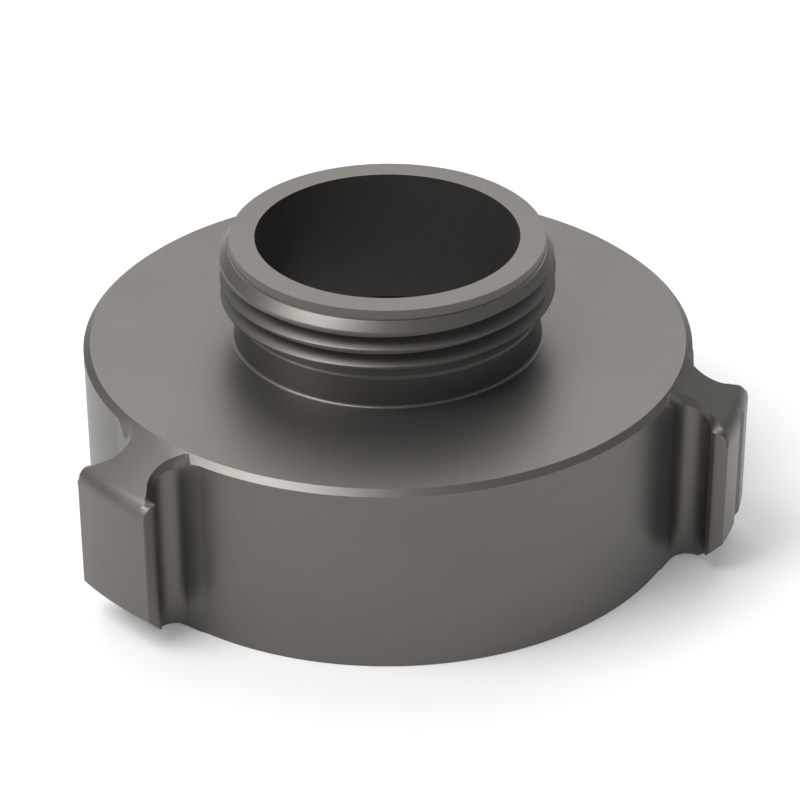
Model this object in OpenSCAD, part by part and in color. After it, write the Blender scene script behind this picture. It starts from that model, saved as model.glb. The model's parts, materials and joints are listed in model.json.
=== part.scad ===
// Fire hose adapter: one rigid body with a large internal hose thread below and a small
// external hose thread above, and a flat rubber gasket held inside the large end.
// Sizes are in millimetres. The axis of the waterway is Z and the large end rests on z = 0.
// The lug that carries the notch points along +X.

/* [Base] */
// Diameter of the round base between the lugs
base_d = 92.5; // [88:0.1:98]
// Height of the base
base_h = 29.7; // [27.5:0.1:34]

/* [Lugs] */
// Number of wrench lugs round the base
lug_count = 3; // [2:1:4]
// Diameter over the outer faces of the lugs
lug_d = 110.1; // [108.4:0.1:114]
// Width of a lug across its outer face
lug_w = 15; // [13.4:0.1:18]
// Width of a lug at its narrow waist
lug_waist_w = 7.8; // [6:0.1:9]
// Radius of the long round groove in each side of a lug
lug_side_r = 3.2; // [2.6:0.1:3.6]
// Slope of the cone that is turned over the tops of the lugs, from level
top_slope = 27; // [22:1:32]
// Radius that rounds this cone over into the outer faces of the lugs
top_round_r = 3.4; // [1:0.1:4.5]
// Slope of the cone under the lugs, from level
under_slope = 32; // [15:1:36]
// Width of the bevel round the top edge of the base, seen from above
top_edge_w = 1; // [0.5:0.1:2]
// Height of that bevel
top_edge_h = 0.8; // [0.4:0.1:1.6]
// How far that bevel runs on over the lugs before their cone begins
bevel_run_on = 0.25; // [0.1:0.05:0.6]
// Width of the thread start notch in the face of the first lug
notch_w = 4.8; // [3:0.1:6.4]
// Depth of that notch
notch_depth = 1.2; // [0.6:0.1:1.8]

/* [Small external thread] */
// Diameter over the thread crests
male_crest_d = 50.55; // [49:0.05:53]
// Distance from one thread ridge to the next
male_pitch = 2.822; // [2.4:0.001:3]
// Height of the threaded end above the base
male_h = 16.5; // [15:0.1:20]
// Height of the plain relief between the base and the thread
relief_h = 4.9; // [3:0.1:5.2]
// How far the relief lies below the bottom of the thread
relief_step = 0.25; // [0.05:0.05:0.4]
// Plain band of full diameter between the bevel of the rim and the first groove
lead_band_h = 2.5; // [1:0.05:3]
// Width of the bevel round the rim, seen from above
rim_bevel_w = 1.5; // [0.6:0.1:1.8]
// Height of that bevel
rim_bevel_h = 0.6; // [0.3:0.05:1.2]

/* [Waterway] */
// Diameter of the straight bore
bore_d = 39.7; // [34:0.1:40.5]
// Diameter of the mouth of the cone that leads into the bore
lead_in_d = 56; // [44:0.1:60]
// Height of that cone
lead_in_h = 5; // [2:0.1:5.6]

/* [Large internal thread] */
// Diameter inside the thread ridges
female_ridge_d = 73.9; // [72:0.1:75.5]
// Distance from one thread ridge to the next
female_pitch = 3.387; // [3:0.001:3.6]
// Number of thread turns
female_turns = 4; // [3:1:4]
// Depth of the plain entry at the mouth
mouth_depth = 1.4; // [0.8:0.1:2]
// How much wider than the bottom of the thread the entry is, in radius
mouth_clearance = 0.3; // [0.1:0.05:0.6]

/* [Gasket] */
// Outer diameter of the gasket
gasket_d = 81; // [80:0.1:82]
// Width of the ring of the gasket, from its outer edge to its hole
gasket_ring_w = 8.5; // [5.5:0.1:11]
// Thickness of the gasket
gasket_t = 4.8; // [3.2:0.1:5.2]
// Thickness of the shelf that holds the gasket, at its edge
shelf_t = 0.9; // [0.6:0.1:1.4]
// Room round the gasket in its recess
gasket_side_gap = 0.15; // [0.05:0.05:0.5]
// Room above the gasket in its recess
gasket_top_gap = 0.2; // [0.1:0.05:0.5]

/* [Hidden] */
round_steps = 72;
small_round_steps = 40;
cut_over = 1;
// A standard hose thread has flanks that lean 30 degrees from square to its axis, and
// flats one eighth of the pitch wide.
flank_lean = 30;
flat_share = 1 / 8;
thread_height_share = (1 / 2 - flat_share) / tan(flank_lean);

base_r = base_d / 2;
lug_r = lug_d / 2;
top_edge_r = base_r - top_edge_w;
cone_r = base_r + bevel_run_on;
cone_z = base_h - (cone_r - top_edge_r) * top_edge_h / top_edge_w;
// The rounding touches the cone and the face of a lug, and its centre lies in the lug.
round_r = lug_r - top_round_r;
round_z = cone_z - (round_r - cone_r) * tan(top_slope) - top_round_r / cos(top_slope);
round_parts = 6;
lug_under_z = (lug_r - base_r) * tan(under_slope);

// The side grooves of a lug bite this far into the base wall, so that they run out in it.
side_bite = 0.08;
side_u = lug_waist_w / 2 + lug_side_r;
side_reach = base_r + lug_side_r - side_bite;
side_v = sqrt(side_reach * side_reach - side_u * side_u);

male_crest_r = male_crest_d / 2;
male_root_r = male_crest_r - thread_height_share * male_pitch;
relief_r = male_root_r - relief_step;
male_top_z = base_h + male_h;
relief_top_z = base_h + relief_h;
male_flat = male_pitch * flat_share;
male_groove_w = male_pitch - male_flat;
first_groove_z = male_top_z - rim_bevel_h - lead_band_h - male_groove_w / 2;
male_grooves = floor((first_groove_z - relief_top_z) / male_pitch) + 1;

female_ridge_r = female_ridge_d / 2;
female_root_r = female_ridge_r + thread_height_share * female_pitch;
female_flat = female_pitch * flat_share;
female_groove_w = female_pitch - female_flat;
mouth_r = female_root_r + mouth_clearance;
// The first ridge meets the entry in a plain flank, which guides the hose end in.
first_ridge_z = mouth_depth + (mouth_r - female_ridge_r) * tan(flank_lean);
first_female_z = first_ridge_z + female_flat + female_groove_w / 2;
shelf_z = first_female_z + (female_turns - 1) * female_pitch + female_groove_w / 2 + shelf_t;
gasket_hole_r = gasket_d / 2 - gasket_ring_w;
recess_r = gasket_d / 2 + gasket_side_gap;
seat_z = shelf_z + gasket_t + gasket_top_gap;

// Outline of one lug in plan, pointing along +X: a narrow waist that spreads to a broad
// face, with a round groove down each side.
module lug_plan() {
    difference() {
        intersection() {
            circle(r = lug_r, $fn = round_steps);
            union() {
                polygon([[0, 0], [side_v, -side_u], [side_v, side_u]]);
                translate([side_v - 0.01, -lug_w / 2])
                    square([lug_r - side_v + cut_over, lug_w]);
            }
        }
        for (side = [-1, 1])
            translate([side_v, side * side_u])
                circle(r = lug_side_r, $fn = small_round_steps);
    }
}

// The notch in the face of the first lug shows a gloved hand where the thread starts.
module notch_plan() {
    polygon([
        [lug_r - notch_depth, 0],
        [lug_r + cut_over, -notch_w / 2 * (1 + cut_over / notch_depth)],
        [lug_r + cut_over, notch_w / 2 * (1 + cut_over / notch_depth)]
    ]);
}

// Plan of the whole base, as the bar it is cut from.
module base_plan() {
    difference() {
        union() {
            circle(r = base_r, $fn = round_steps);
            for (i = [0 : lug_count - 1])
                rotate(i * 360 / lug_count)
                    lug_plan();
        }
        notch_plan();
    }
}

// What the lathe leaves of the bar: a cone over the lugs and a cone under them.
module turned_envelope() {
    rotate_extrude($fn = round_steps)
        polygon([
            [0, 0],
            [base_r, 0],
            [lug_r + cut_over, lug_under_z + cut_over * tan(under_slope)],
            [lug_r + cut_over, round_z],
            each [for (i = [0 : round_parts])
                let (a = (90 - top_slope) * i / round_parts)
                [round_r + top_round_r * cos(a), round_z + top_round_r * sin(a)]],
            [cone_r, cone_z],
            [top_edge_r, base_h],
            [0, base_h]
        ]);
}

module base_blank() {
    intersection() {
        linear_extrude(height = base_h)
            base_plan();
        turned_envelope();
    }
}

// Half section of one groove of the external thread, from its lower edge upwards.
function male_groove(z) = [
    [male_crest_r, z - male_groove_w / 2],
    [male_root_r, z - male_flat / 2],
    [male_root_r, z + male_flat / 2],
    [male_crest_r, z + male_groove_w / 2]
];

// The lowest groove opens straight into the relief.
function male_last_groove(z) = [
    [male_root_r, relief_top_z + relief_step],
    [male_root_r, z + male_flat / 2],
    [male_crest_r, z + male_groove_w / 2]
];

male_section = concat(
    [[0, base_h - cut_over], [relief_r, base_h - cut_over], [relief_r, relief_top_z]],
    male_last_groove(first_groove_z - (male_grooves - 1) * male_pitch),
    [for (i = [male_grooves - 2 : -1 : 0]) each male_groove(first_groove_z - i * male_pitch)],
    [[male_crest_r, male_top_z - rim_bevel_h]],
    [[male_crest_r - rim_bevel_w, male_top_z], [0, male_top_z]]
);

module male_end() {
    rotate_extrude($fn = round_steps)
        polygon(male_section);
}

// Half section of one groove of the internal thread, from its lower edge upwards.
function female_groove(z) = [
    [female_ridge_r, z - female_groove_w / 2],
    [female_root_r, z - female_flat / 2],
    [female_root_r, z + female_flat / 2],
    [female_ridge_r, z + female_groove_w / 2]
];

hollow_section = concat(
    [[0, -cut_over], [mouth_r, -cut_over], [mouth_r, mouth_depth], [female_ridge_r, first_ridge_z]],
    [for (i = [0 : female_turns - 1]) each female_groove(first_female_z + i * female_pitch)],
    [[female_ridge_r, shelf_z], [recess_r, shelf_z], [recess_r, seat_z]],
    [[lead_in_d / 2, seat_z], [bore_d / 2, seat_z + lead_in_h]],
    [[bore_d / 2, male_top_z + cut_over], [0, male_top_z + cut_over]]
);

// Everything the water or the hose end can reach, as one turned core.
module hollow() {
    rotate_extrude($fn = round_steps)
        polygon(hollow_section);
}

module adapter_body() {
    color([0.36, 0.35, 0.33])
        difference() {
            union() {
                base_blank();
                male_end();
            }
            hollow();
        }
}

// The gasket lies on the shelf that the last thread ridge leaves below the recess.
module gasket() {
    color([0.09, 0.09, 0.09])
        translate([0, 0, shelf_z])
            rotate_extrude($fn = round_steps)
                translate([gasket_hole_r, 0])
                    square([gasket_ring_w, gasket_t]);
}

adapter_body();
gasket();
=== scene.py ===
# %% [markdown]
# # A fire hose adapter, hard anodised
#
# The adapter joins a small hose to a large one. It is one piece of aluminium: a round base
# with three wrench lugs, a large thread hidden under it, and a small thread on top. A flat
# rubber gasket lies inside the large end. This lesson turns, cuts and finishes both pieces
# over their plain CAD solids, in metres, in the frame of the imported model.

# %% Load the frame
import json
import math
import bmesh
import bpy
from mathutils import Matrix, Vector


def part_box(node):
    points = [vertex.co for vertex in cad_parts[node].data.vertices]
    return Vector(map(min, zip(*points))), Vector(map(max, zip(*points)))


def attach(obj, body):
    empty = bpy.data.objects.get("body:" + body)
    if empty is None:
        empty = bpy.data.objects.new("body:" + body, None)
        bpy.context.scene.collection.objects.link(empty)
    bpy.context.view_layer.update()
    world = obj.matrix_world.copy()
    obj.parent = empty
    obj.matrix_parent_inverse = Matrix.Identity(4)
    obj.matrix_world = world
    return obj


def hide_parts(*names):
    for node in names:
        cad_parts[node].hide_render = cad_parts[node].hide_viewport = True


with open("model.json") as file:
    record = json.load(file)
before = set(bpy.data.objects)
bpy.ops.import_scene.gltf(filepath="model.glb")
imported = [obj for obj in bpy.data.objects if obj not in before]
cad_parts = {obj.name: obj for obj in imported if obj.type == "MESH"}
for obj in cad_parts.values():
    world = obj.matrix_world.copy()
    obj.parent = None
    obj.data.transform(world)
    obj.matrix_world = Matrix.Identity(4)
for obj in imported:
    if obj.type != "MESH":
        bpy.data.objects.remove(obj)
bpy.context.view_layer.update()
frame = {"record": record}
mounts = {mount["name"]: mount for mount in frame["record"]["mounts"]}

# %% [markdown]
# ## Sizes
#
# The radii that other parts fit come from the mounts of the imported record, and the heights
# from its boxes. The rest are the adapter's own sizes, in millimetres times mm.

# %% Name the sizes
mm = 0.001


def radius_of(mount):
    """The radius that a mount of the frame states, in metres."""
    return mounts[mount]["dims"]["r_mm"] * mm


crest_radius = radius_of("small_thread")
ridge_radius = radius_of("large_thread")
entry_radius = radius_of("mouth")
bore_radius = radius_of("waterway")
top_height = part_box("adapter_body")[1].z
small_end_height = 16.5 * mm
base_height = top_height - small_end_height
base_radius = 46.25 * mm
lug_reach = 55.05 * mm
inch = 25.4 * mm
small_pitch = inch / 9
large_pitch = inch / 7.5
gasket_low, gasket_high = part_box("gasket")
shelf_height = gasket_low.z
gasket_play = 0.2 * mm
seat_height = gasket_high.z + gasket_play
print("top", round(top_height, 5), "base", round(base_height, 5), "shelf", round(shelf_height, 5))

# %% [markdown]
# ## The camera
#
# The photograph looks down at about 31 degrees, with a long lens. The camera comes first,
# so that every step can be judged in the same view. It needs no shift, because the adapter
# sits near the middle of the picture.

# %% Place the camera
view_height = 30.685
view_turn = 16.77
view_roll = 0.21
view_distance = 474.8 * mm
picture_width = 800
pixels_per_metre = 6536.0
target = Vector((0, 0, 25 * mm))
target_pixel = Vector((388.1, 356.69))
middle_pixel = Vector((picture_width / 2, picture_width / 2))

turn = Matrix.Rotation(math.radians(view_turn), 3, "Z")
tilt = math.radians(view_height)
forward = turn @ Vector((0, math.cos(tilt), -math.sin(tilt)))
level = turn @ Vector((1, 0, 0))
upward = turn @ Vector((0, math.sin(tilt), math.cos(tilt)))
roll = math.radians(view_roll)
right = level * math.cos(roll) - upward * math.sin(roll)
above = level * math.sin(roll) + upward * math.cos(roll)
offset = (target_pixel - middle_pixel) / pixels_per_metre

camera_data = bpy.data.cameras.new("camera")
camera = bpy.data.objects.new("camera", camera_data)
bpy.context.collection.objects.link(camera)
bpy.context.scene.camera = camera
camera.location = target - right * offset.x + above * offset.y - forward * view_distance
camera.rotation_euler = Matrix((right, above, -forward)).transposed().to_euler()
camera_data.sensor_width = 36
camera_data.lens = pixels_per_metre * view_distance / picture_width * camera_data.sensor_width
camera_data.clip_start = 0.02
camera_data.clip_end = 10
print("lens", round(camera_data.lens, 2), "mm, camera at", [round(v, 4) for v in camera.location])

# %% [markdown]
# ## Tools for turning and cutting
#
# The real body starts as an aluminium bar with three lugs along it and is shaped on a lathe.
# The same can be done here. A turned tool is half of a section, drawn with a point that is
# extruded step by step and then spun about the axis. Boolean modifiers then keep or remove
# what the tool covers, as the lathe does. Modelling the body face by face would also work,
# but the curved edges where lugs and cones meet come out exact only when they are cut.

# %% Helpers for edit mode
columns = 252
seam = 0.0005 * mm
sliver = 0.001 * mm


def begin(name):
    """Deselects everything and adds one flat primitive, in edit mode."""
    bpy.ops.object.select_all(action="DESELECT")
    bpy.ops.mesh.primitive_plane_add(size=1 * mm)
    piece = bpy.context.object
    piece.name = name
    piece.data.name = name
    bpy.ops.object.mode_set(mode="EDIT")
    bpy.ops.mesh.select_mode(type="VERT")
    return piece


def close(piece):
    """Merges the seams, points the faces outwards and leaves edit mode."""
    bpy.ops.mesh.select_all(action="SELECT")
    bpy.ops.mesh.remove_doubles(threshold=seam)
    bpy.ops.mesh.normals_make_consistent(inside=False)
    bpy.ops.object.mode_set(mode="OBJECT")


def draw(section):
    """Draws a line in the XZ plane by extruding one point from place to place."""
    bpy.ops.mesh.select_all(action="SELECT")
    bpy.ops.mesh.merge(type="CENTER")
    bpy.ops.transform.translate(value=(section[0][0], 0, section[0][1]))
    for before, after in zip(section, section[1:]):
        step = (after[0] - before[0], 0, after[1] - before[1])
        bpy.ops.mesh.extrude_vertices_move(TRANSFORM_OT_translate={"value": step})


def turned(name, section, turned_by=0.0):
    """A turned solid from half of its section. Tools that meet are turned by half a column,
    so that their edges cross and never run into each other."""
    piece = begin(name)
    draw(section)
    bpy.ops.mesh.select_all(action="SELECT")
    bpy.ops.mesh.remove_doubles(threshold=seam)
    bpy.ops.mesh.spin(steps=columns, angle=math.tau, center=(0, 0, 0), axis=(0, 0, 1))
    close(piece)
    piece.data.transform(Matrix.Rotation(turned_by * math.tau / columns, 4, "Z"))
    return piece


def apply(piece, modifier):
    """Applies one modifier of a piece."""
    bpy.context.view_layer.objects.active = piece
    bpy.ops.object.modifier_apply(modifier=modifier.name)


def measured(piece):
    """The volume of a piece and its open edges, in words."""
    mesh = bmesh.new()
    mesh.from_mesh(piece.data)
    volume = mesh.calc_volume(signed=True) / mm ** 3
    open_edges = sum(1 for edge in mesh.edges if not edge.is_manifold)
    mesh.free()
    return f"{volume:.1f} cubic millimetres and {open_edges} open edges"


def cut(piece, tool, operation):
    """Applies a Boolean of the tool to the piece, then deletes the tool."""
    modifier = piece.modifiers.new("cut", "BOOLEAN")
    modifier.object = tool
    modifier.operation = operation
    modifier.solver = "EXACT"
    apply(piece, modifier)
    bpy.ops.object.select_all(action="DESELECT")
    piece.select_set(True)
    bpy.ops.object.mode_set(mode="EDIT")
    bpy.ops.mesh.select_all(action="SELECT")
    bpy.ops.mesh.remove_doubles(threshold=sliver)
    bpy.ops.mesh.dissolve_degenerate(threshold=sliver)
    bpy.ops.object.mode_set(mode="OBJECT")
    print(operation.lower(), tool.name, "leaves", measured(piece))
    bpy.data.objects.remove(tool)


# %% [markdown]
# ## The bar
#
# The bar's section is a circle with three lugs. A lug has a broad head and a narrow waist
# with a long round groove down each side, so that a spanner can hook behind either corner.
# Half of a lug is worked out once, as points across the lug and outwards from the axis, and
# the other half mirrors it. The upper edge of each groove has a broad chamfer, so each point
# has a partner: the place where the chamfer ends on the turned cone above.

# %% Work out half of a lug
groove_middle = Vector((7.05 * mm, 49.0 * mm))
groove_radius = 2.85 * mm
nose_radius = 0.9 * mm
head_half_width = 7.5 * mm
lug_angles = [math.radians(a) for a in (0, 120, 240)]
groove_start = 262
groove_end = 90
corner_start = 125
groove_steps = 24
nose_steps = 3
wall_steps = 4
chamfer_reach = ((262, 4.1), (235, 3.7), (205, 3.5), (185, 3.42), (160, 3.35), (125, 3.4))
chamfer_depth = ((262, 1.8), (235, 1.4), (205, 1.1), (150, 1.2), (110, 1.5), (90, 1.5))
nose_depth = 1.4
nose_fall = 1.5
least_depth = 0.1


def between(table, x):
    """Reads a value from a short table of pairs, in a straight line between two of them."""
    for (x0, y0), (x1, y1) in zip(table, table[1:]):
        if x0 >= x >= x1:
            return y0 + (y1 - y0) * (x0 - x) / (x0 - x1)
    return table[-1][1]


def on_circle(middle, radius, degrees):
    """A point on a circle."""
    a = math.radians(degrees)
    return middle + Vector((math.cos(a), math.sin(a))) * radius


def half_lug():
    """From the wall of the base to the face: each point, its partner and the chamfer's depth.
    The two tables go by degrees round the groove, in millimetres."""
    lug = []
    bend = 0
    for i in range(groove_steps + 1):
        degrees = groove_start + (groove_end - groove_start) * i / groove_steps
        held = max(degrees, corner_start)
        far = on_circle(groove_middle, between(chamfer_reach, held) * mm, held)
        lug.append([on_circle(groove_middle, groove_radius, degrees), far,
                    between(chamfer_depth, degrees) * mm])
        if degrees > corner_start:
            bend += 1
    nose_middle = Vector((head_half_width - nose_radius, 0))
    away = nose_middle.x - groove_middle.x
    nose_middle.y = groove_middle.y + math.sqrt((groove_radius + nose_radius) ** 2 - away ** 2)
    for i in range(1, nose_steps + 1):
        lug.append([on_circle(nose_middle, nose_radius, 270 + 90 * i / nose_steps), None, 0])
    nose = lug[-1][0]
    face_corner = Vector((head_half_width, math.sqrt(lug_reach ** 2 - head_half_width ** 2)))
    for i in range(1, wall_steps + 1):
        lug.append([nose.lerp(face_corner, i / wall_steps), None, 0])
    start = lug[bend][1].copy()
    for i in range(bend, len(lug)):
        along = (i - bend) / (len(lug) - 1 - bend)
        lug[i][1] = start.lerp(face_corner, along)
        if i > groove_steps:
            after = (i - groove_steps) / (len(lug) - 1 - groove_steps)
            lug[i][2] = (nose_depth * (1 - after) ** nose_fall + least_depth) * mm
    return lug


half = half_lug()
print("waist", round(2 * (groove_middle.x - groove_radius) / mm, 2), "mm, head",
      round(2 * head_half_width / mm, 2), "mm wide,", len(half), "points a side")

# %% [markdown]
# The bar gets four rings of points with one outline each: its foot, the lower edge of the
# chamfer just under the turned top, a ring beyond the chamfer's far edge and above that top,
# and the top of the bar. What lies above the turned top is cut off later, and that leaves the
# chamfer's far edge as a clean curve. One lug has a V notch down its face, which marks where
# the thread starts.

# %% Know the turned top
edge_inner = (45.25 * mm, base_height)
edge_outer = (46.5 * mm, base_height - 1 * mm)
edge_slope = 0.8
cone_angle = math.radians(27)
corner_round = 3.4 * mm
round_middle = lug_reach - corner_round
round_height = (edge_outer[1] - (round_middle - edge_outer[0]) * math.tan(cone_angle)
                - corner_round / math.cos(cone_angle))


def top_at(radius):
    """The height of the turned top: flat, bevel, cone over the lugs, and its rounded end."""
    if radius < edge_inner[0]:
        return base_height
    if radius < edge_outer[0]:
        return base_height - (radius - edge_inner[0]) * edge_slope
    if radius < round_middle + corner_round * math.sin(cone_angle):
        return edge_outer[1] - (radius - edge_outer[0]) * math.tan(cone_angle)
    out = min(radius, lug_reach) - round_middle
    return round_height + math.sqrt(max(0, corner_round ** 2 - out ** 2))


print("top of a lug's face at", round(top_at(lug_reach) / mm, 2), "mm")

# %% Lay out the outline
overrun = 1.6
least_rise = 0.02 * mm
straight_rise = 2 * mm
no_lean = 0.01 * mm
past_ends = 1 * mm
notch_place = 0.5 * mm
notch_half = 1.7 * mm
notch_depth = 1.05 * mm
face_drop = 0.12 * mm
face_columns = 4
lug_columns = 8
column = math.tau / columns


def round_point(radius, k):
    """A point of a circle about the axis, k columns from the middle of a lug."""
    return Vector((math.sin(k * column), math.cos(k * column))) * radius


def face_points(notched):
    """Points of a lug's face. In one lug a V notch takes the place of those in the middle."""
    points = [round_point(lug_reach, k) for k in range(-face_columns, face_columns + 1)]
    if notched:
        edges = [Vector((u, math.sqrt(lug_reach ** 2 - u ** 2)))
                 for u in (notch_place - notch_half, notch_place + notch_half)]
        bottom = Vector((notch_place, lug_reach - notch_depth))
        points = points[:3] + [edges[0], bottom, edges[1]] + points[-2:]
    return points


def outline_rows():
    """The whole outline, anticlockwise: four places for each of its points."""
    rows = []
    sector = columns // 3
    for lug_angle in lug_angles:
        lug = [(Vector((-p.x, p.y)), Vector((-far.x, far.y)), drop) for p, far, drop in half]
        lug += [(point, point, face_drop) for point in face_points(lug_angle == 0)]
        lug += reversed(half)
        for k in range(lug_columns, sector - lug_columns + 1):
            point = round_point(base_radius, k)
            lug.append((point, point, 0))
        turned_by = Matrix.Rotation(lug_angle, 3, "Z")
        for point, far, drop in lug:
            lean = far - point
            low = top_at(point.length) - drop
            high = low + (top_at(far.length) - low) * overrun + least_rise
            if lean.length < no_lean:
                high = low + straight_rise
            beyond = point + lean * overrun
            rows.append([turned_by @ Vector((across_out.y, across_out.x, z))
                         for across_out, z in ((point, -past_ends), (point, low), (beyond, high),
                                               (beyond, top_height + past_ends))])
    return rows


rows = outline_rows()
count = len(rows)
print("outline", count, "points round")

# %% Extrude the bar
def place(piece, chosen, places):
    """Moves chosen vertices to their places."""
    mesh = bmesh.from_edit_mesh(piece.data)
    mesh.verts.ensure_lookup_table()
    for index, where in zip(chosen, places):
        mesh.verts[index].co = where
    bmesh.update_edit_mesh(piece.data)


bpy.ops.object.select_all(action="DESELECT")
bpy.ops.mesh.primitive_circle_add(vertices=count, radius=base_radius, fill_type="NGON")
bar = bpy.context.object
bar.name = "bar"
bpy.ops.object.mode_set(mode="EDIT")
place(bar, range(count), [row[0] for row in rows])
for ring in (1, 2, 3):
    bpy.ops.mesh.extrude_region_move(TRANSFORM_OT_translate={"value": (0, 0, 1 * mm)})
    mesh = bmesh.from_edit_mesh(bar.data)
    mesh.verts.ensure_lookup_table()
    chosen = [v.index for v in mesh.verts if v.select]
    lower = {v.index: other.index for v in mesh.verts if v.select
             for other in (e.other_vert(v) for e in v.link_edges) if not other.select}
    order = {}
    for index in chosen:
        order[index] = lower[index] if ring == 1 else order_before[lower[index]]
    order_before = order
    place(bar, chosen, [rows[order[index]][ring] for index in chosen])
close(bar)
print("bar", len(bar.data.polygons), "faces")

# %% [markdown]
# ## Turning the outside
#
# The lathe gives the flat top, its bevelled edge, the cones over and under the lugs, the neck
# below the small thread and the plain cylinder from which that thread is cut. The end of that
# cylinder is turned down to a short plain rim, and a ledge and a cone lead from it to the
# thread. All of it is one section. Its outermost radius is past the lugs, so their faces stay
# as the bar has them.

# %% Turn the outside
neck_radius = 23.19 * mm
neck_top = base_height + 4.9 * mm
foot_radius = 0.5 * mm
foot_steps = 4
foot_round = []
for i in range(foot_steps + 1):
    a = math.radians(270 - 90 * i / foot_steps)
    foot_round.append((neck_radius + foot_radius * (1 + math.cos(a)),
                       base_height + foot_radius * (1 + math.sin(a))))
runout_radius = 22.98 * mm
relief_cone = 0.2 * mm
crest_cone_start = 36 * mm
crest_cone_end = 37 * mm
rim_radius = 23.70 * mm
rim_foot = top_height - 1.5 * mm
rim_ledge = 0.3 * mm
rim_cone = 1.4 * mm
past_lugs = lug_reach + 1 * mm
foot_edge = (46.3 * mm, 0)
under_lug_start = (47.2 * mm, 0.5 * mm)
under_lug_bend = (50.6 * mm, 0.8 * mm)
under_lug_end = (past_lugs, 6.55 * mm)
just_outside = 0.03 * mm
rounding_steps = 8
rounding = []
for i in range(rounding_steps + 1):
    a = (math.pi / 2 - cone_angle) * i / rounding_steps
    rounding.append((round_middle + just_outside + corner_round * math.cos(a),
                     round_height + corner_round * math.sin(a)))

outside = turned("outside", [
    (0, 0),
    foot_edge,
    under_lug_start,
    under_lug_bend,
    under_lug_end,
    (past_lugs, round_height),
    *rounding,
    edge_outer,
    edge_inner,
    *foot_round,
    (neck_radius, neck_top),
    (runout_radius, neck_top + relief_cone),
    (runout_radius, crest_cone_start),
    (crest_radius, crest_cone_end),
    (crest_radius, rim_foot - rim_cone),
    (rim_radius + rim_ledge, rim_foot),
    (rim_radius, rim_foot),
    (rim_radius, top_height),
    (0, top_height),
], turned_by=0.5)
body = bar
body.name = "body"
cut(body, outside, "INTERSECT")

# %% [markdown]
# ## Boring the inside
#
# From below come the mouth, the cylinder for the large thread, the wider recess that holds
# the gasket and its seat. A cone leads from the seat to the waterway. One tool takes all of
# it away.

# %% Bore the inside
recess_radius = 40.65 * mm
entry_height = 1.4 * mm
cone_radius = 28 * mm
lead_in_height = 2.4 * mm
entry_slope = math.tan(math.radians(30))

inside = turned("inside", [
    (0, -past_ends),
    (entry_radius, -past_ends),
    (entry_radius, entry_height),
    (ridge_radius, entry_height + (entry_radius - ridge_radius) * entry_slope),
    (ridge_radius, shelf_height),
    (recess_radius, shelf_height),
    (recess_radius, seat_height),
    (cone_radius, seat_height),
    (bore_radius, seat_height + lead_in_height),
    (bore_radius, top_height + past_ends),
    (0, top_height + past_ends),
])
cut(body, inside, "DIFFERENCE")

# %% [markdown]
# Every edge that a tool leaves is broken a little before the metal is anodised, and those
# narrow faces catch the light. The bevel operator does all sharp edges at once. The edges round
# the top of the base and of the lugs stay out, because a broader bevel has broken them already.

# %% Break the edges
edge_break = 0.13 * mm
sharp_from = math.radians(28)
rim_band = 0.5 * mm
top_band = 19 * mm


def bevelled_already(point):
    """Whether a point lies on the top edge of the base or of a lug."""
    return point.xy.length > edge_inner[0] - rim_band and point.z > top_band


bpy.ops.object.select_all(action="DESELECT")
body.select_set(True)
bpy.context.view_layer.objects.active = body
bpy.ops.object.mode_set(mode="EDIT")
bpy.ops.mesh.select_mode(type="EDGE")
bpy.ops.mesh.select_all(action="DESELECT")
bpy.ops.mesh.edges_select_sharp(sharpness=sharp_from)
mesh = bmesh.from_edit_mesh(body.data)
for edge in mesh.edges:
    if edge.select and all(bevelled_already(vertex.co) for vertex in edge.verts):
        edge.select_set(False)
bmesh.update_edit_mesh(body.data)
print("edges to break", sum(1 for edge in mesh.edges if edge.select))
bpy.ops.mesh.bevel(offset=edge_break, segments=2, affect="EDGES", clamp_overlap=False)
bpy.ops.object.mode_set(mode="OBJECT")
print("with broken edges", measured(body), "and", len(body.data.polygons), "faces")

# %% [markdown]
# ## The threads
#
# A fire hose thread is a V groove cut as a right-hand helix: nine turns an inch outside, seven
# and a half inside. The groove's section is drawn once, and a Screw modifier winds it up with
# as many steps a turn as the body has columns. Towards its end the cutter is drawn back from
# the metal, as a lathe tool is, so that the groove fades away instead of stopping dead.

# %% Make thread cutters
flank = math.tan(math.radians(30))
crest_break = 0.1 * mm
past_crest = 0.08 * mm
break_slope = 0.6


def thread_cutter(name, section, pitch, first_turn, first_height, turns, fade, withdraw):
    """A helical cutter. It starts at an angle, and over its last part moves off radially."""
    piece = begin(name)
    draw(section)
    bpy.ops.mesh.select_all(action="SELECT")
    bpy.ops.mesh.edge_face_add()
    bpy.ops.object.mode_set(mode="OBJECT")
    winding = piece.modifiers.new("winding", "SCREW")
    winding.axis = "Z"
    winding.angle = math.tau * turns
    winding.screw_offset = pitch * turns
    winding.steps = winding.render_steps = round(columns * turns)
    winding.use_merge_vertices = False
    apply(piece, winding)
    for vertex in piece.data.vertices:
        x, y, z = vertex.co
        angle = math.atan2(y, x) / math.tau
        turn = angle + round(z / pitch - angle)
        late = max(0, (turn - (turns - fade)) / fade)
        scale = 1 + withdraw * late ** 2 / math.hypot(x, y)
        vertex.co.x *= scale
        vertex.co.y *= scale
    place_it = Matrix.Rotation(first_turn, 4, "Z")
    place_it.translation.z = first_height
    piece.data.transform(place_it)
    bpy.ops.object.mode_set(mode="EDIT")
    bpy.ops.mesh.select_all(action="DESELECT")
    bpy.ops.mesh.select_mode(type="EDGE")
    bpy.ops.mesh.select_non_manifold(extend=False)
    bpy.ops.mesh.edge_face_add()
    close(piece)
    print(name, "has", measured(piece))
    return piece


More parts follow.
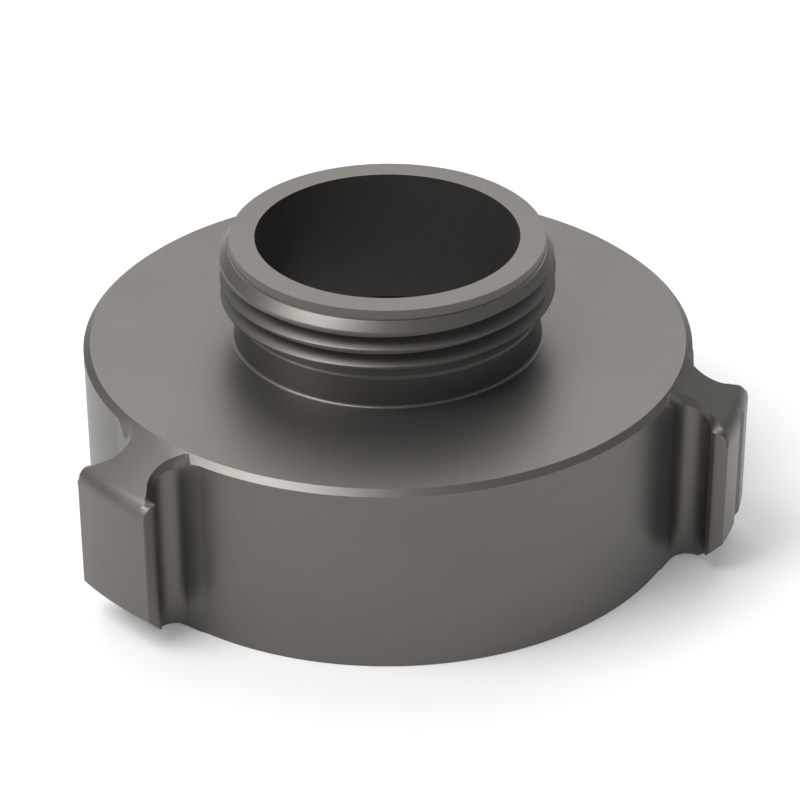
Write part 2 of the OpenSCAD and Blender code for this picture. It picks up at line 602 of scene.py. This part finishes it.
def thread_section(root, crest, flat):
    """A groove's section: the root flat, two flanks and a small break at each crest."""
    out = 1 if crest > root else -1
    half = flat / 2
    broken = abs(crest - root) - crest_break
    wide = half + broken * flank
    end = (crest + out * past_crest, wide + crest_break + past_crest * break_slope)
    return [(root, half), (root + out * broken, wide), end,
            (end[0], -end[1]), (root + out * broken, -wide), (root, -half)]


# %% Cut both threads
small_root_radius = 23.442 * mm
small_section = thread_section(small_root_radius, crest_radius, small_pitch / 8)
small_cutter = thread_cutter("small cutter", small_section, small_pitch,
                             first_turn=math.radians(80), first_height=34.6 * mm,
                             turns=3, fade=0.22, withdraw=2.4 * mm)
cut(body, small_cutter, "DIFFERENCE")

large_root_radius = 39.15 * mm
large_section = thread_section(large_root_radius, ridge_radius, large_pitch / 8)
large_cutter = thread_cutter("large cutter", large_section, large_pitch,
                             first_turn=column / 2, first_height=0.9 * mm,
                             turns=4.4, fade=0.2, withdraw=-2.6 * mm)
cut(body, large_cutter, "DIFFERENCE")

# %% [markdown]
# ## Shading the body
#
# Long curved faces should look smooth and every edge crisp. Smooth shading by angle does the
# first, and the Weighted Normal modifier lets the large faces keep their own direction.

# %% Shade the body
smooth_angle = math.radians(25)


def shade(piece):
    """Smooth faces that meet gently, and leave the rest sharp."""
    bpy.ops.object.select_all(action="DESELECT")
    piece.select_set(True)
    bpy.context.view_layer.objects.active = piece
    bpy.ops.object.shade_smooth_by_angle(angle=smooth_angle)
    weighted = piece.modifiers.new("weighted", "WEIGHTED_NORMAL")
    weighted.keep_sharp = True
    apply(piece, weighted)


shade(body)
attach(body, "root")
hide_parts("adapter_body")
triangles = sum(len(p.vertices) - 2 for p in body.data.polygons)
print("body", triangles, "triangles")

# %% [markdown]
# ## The gasket
#
# The gasket is a flat ring of black rubber. It is turned like the body, from a section with
# rounded corners, and lies on the shelf inside the large end, where only a look from below
# shows it.

# %% Turn the gasket
gasket_outer = gasket_high.x
gasket_width = 8.5 * mm
edge_round = 0.5 * mm
corner_steps = 4


def rounded_section(inner, outer, low, high, radius):
    """A closed section with rounded corners."""
    corners = ((outer - radius, low + radius, 270), (outer - radius, high - radius, 0),
               (inner + radius, high - radius, 90), (inner + radius, low + radius, 180))
    section = []
    for r, z, first in corners:
        for i in range(corner_steps + 1):
            a = math.radians(first + 90 * i / corner_steps)
            section.append((r + radius * math.cos(a), z + radius * math.sin(a)))
    return section + section[:1]


gasket = turned("gasket_ring", rounded_section(gasket_outer - gasket_width, gasket_outer,
                                               gasket_low.z, gasket_high.z, edge_round))
shade(gasket)
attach(gasket, "root")
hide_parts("gasket")
print("gasket", len(gasket.data.polygons), "faces")

# %% [markdown]
# ## Hard anodised aluminium
#
# Hard anodising turns aluminium a warm dark grey with a satin sheen. It is not a mirror, so
# the material is metallic and rather rough. The fine grain of the oxide and slow changes in
# tone keep it from looking like plastic.

# %% Helpers for finishes
def material_with(name):
    """A new node material and its shader."""
    material = bpy.data.materials.new(name)
    material.use_nodes = True
    return material, material.node_tree.nodes, material.node_tree.links


def noise(nodes, links, scale, detail):
    """Soft noise that stays put on a piece."""
    pattern = nodes.new("ShaderNodeTexNoise")
    pattern.inputs["Scale"].default_value = scale
    pattern.inputs["Detail"].default_value = detail
    place_on = nodes.new("ShaderNodeTexCoord")
    links.new(place_on.outputs["Object"], pattern.inputs["Vector"])
    return pattern.outputs["Fac"]


def tint(nodes, links, pattern, dark, pale):
    """Colours a shader between two colours."""
    tone = nodes.new("ShaderNodeMix")
    tone.data_type = "RGBA"
    tone.inputs["A"].default_value = dark
    tone.inputs["B"].default_value = pale
    links.new(pattern, tone.inputs["Factor"])
    links.new(tone.outputs["Result"], nodes["Principled BSDF"].inputs["Base Color"])


def roughen(nodes, links, pattern, strength):
    """Gives a shader a fine grain in relief."""
    relief = nodes.new("ShaderNodeBump")
    relief.inputs["Strength"].default_value = strength
    relief.inputs["Distance"].default_value = 0.03 * mm
    links.new(pattern, relief.inputs["Height"])
    links.new(relief.outputs["Normal"], nodes["Principled BSDF"].inputs["Normal"])


def wear(piece, material):
    """Puts a material on a piece, in place of any other."""
    piece.data.materials.clear()
    piece.data.materials.append(material)
    print(piece.name, "wears", material.name)


# %% Finish the body
anodised, nodes, links = material_with("hard anodised aluminium")
cloud = noise(nodes, links, 55, 3)
grain = noise(nodes, links, 2600, 4)
tint(nodes, links, cloud, (0.128, 0.121, 0.111, 1), (0.152, 0.144, 0.132, 1))
rough = nodes.new("ShaderNodeMapRange")
rough.inputs["To Min"].default_value = 0.36
rough.inputs["To Max"].default_value = 0.44
links.new(grain, rough.inputs["Value"])
links.new(rough.outputs["Result"], nodes["Principled BSDF"].inputs["Roughness"])
nodes["Principled BSDF"].inputs["Metallic"].default_value = 0.85
roughen(nodes, links, grain, 0.25)
wear(body, anodised)

# %% [markdown]
# ## Rubber
#
# The gasket is dull black rubber with a fine moulded grain. The same noise that changes its
# tone a little raises the grain.

# %% Finish the gasket
rubber, nodes, links = material_with("black rubber")
grain = noise(nodes, links, 1800, 3)
tint(nodes, links, grain, (0.012, 0.012, 0.012, 1), (0.026, 0.025, 0.024, 1))
nodes["Principled BSDF"].inputs["Roughness"].default_value = 0.62
roughen(nodes, links, grain, 0.3)
wear(gasket, rubber)

# %% [markdown]
# ## Floor and light
#
# The photograph has a white background and a soft shadow under the adapter. The floor is a
# wide pale disc with a little plain white mixed in where the camera or a reflection sees it,
# so the background stays white and the shadow soft. Two soft lamps stand on the left, one
# high and one low, and a larger one stands behind.

# %% Lay the floor
floor_gap = 0.02 * mm
bpy.ops.object.select_all(action="DESELECT")
bpy.ops.mesh.primitive_circle_add(vertices=96, radius=6, fill_type="NGON",
                                  location=(0, 0, -floor_gap))
floor = bpy.context.object
floor.name = "floor"
print("floor", round(floor.dimensions.x, 1), "metres wide")

# %% Finish the floor
white_share = 0.18
paper, nodes, links = material_with("white paper")
shader = nodes["Principled BSDF"]
shader.inputs["Base Color"].default_value = (0.86, 0.86, 0.86, 1)
shader.inputs["Roughness"].default_value = 0.9
seen = nodes.new("ShaderNodeLightPath")
total = seen.outputs["Is Camera Ray"]
for other_ray in ("Is Glossy Ray", "Is Transmission Ray"):
    added = nodes.new("ShaderNodeMath")
    added.operation = "ADD"
    links.new(total, added.inputs[0])
    links.new(seen.outputs[other_ray], added.inputs[1])
    total = added.outputs["Value"]
part = nodes.new("ShaderNodeMath")
part.operation = "MULTIPLY"
links.new(total, part.inputs[0])
part.inputs[1].default_value = white_share
white = nodes.new("ShaderNodeEmission")
white.inputs["Strength"].default_value = 1
blend = nodes.new("ShaderNodeMixShader")
links.new(part.outputs["Value"], blend.inputs["Fac"])
links.new(shader.outputs["BSDF"], blend.inputs[1])
links.new(white.outputs["Emission"], blend.inputs[2])
links.new(blend.outputs["Shader"], nodes["Material Output"].inputs["Surface"])
wear(floor, paper)

# %% Light the world
world = bpy.data.worlds.new("studio")
bpy.context.scene.world = world
world.use_nodes = True
sky = world.node_tree
sky.nodes["Background"].inputs["Color"].default_value = (0.9, 0.9, 0.9, 1)
sky.nodes["Background"].inputs["Strength"].default_value = 0.42
print("world set")

# %% Set the lamps
def lamp(name, azimuth, height, distance, size, power):
    """A square lamp that looks at the adapter, in degrees, metres and watts. Azimuth 0 is
    towards the camera."""
    data = bpy.data.lights.new(name, "AREA")
    data.shape = "SQUARE"
    data.size = size
    data.energy = power
    light = bpy.data.objects.new(name, data)
    bpy.context.collection.objects.link(light)
    a = math.radians(azimuth + view_turn - 90)
    up = math.radians(height)
    away = Vector((math.cos(a) * math.cos(up), math.sin(a) * math.cos(up), math.sin(up)))
    light.location = target + away * distance
    light.rotation_euler = (-away).to_track_quat("-Z", "Y").to_euler()
    print(name, "lamp of", power, "watts")


lamp("key", -66, 58, 1.0, 0.6, 9)
lamp("back", 180, 50, 1.1, 1.1, 7.2)
lamp("side", -66, 22, 1.2, 0.5, 1.8)
bpy.context.scene.view_settings.view_transform = "Standard"
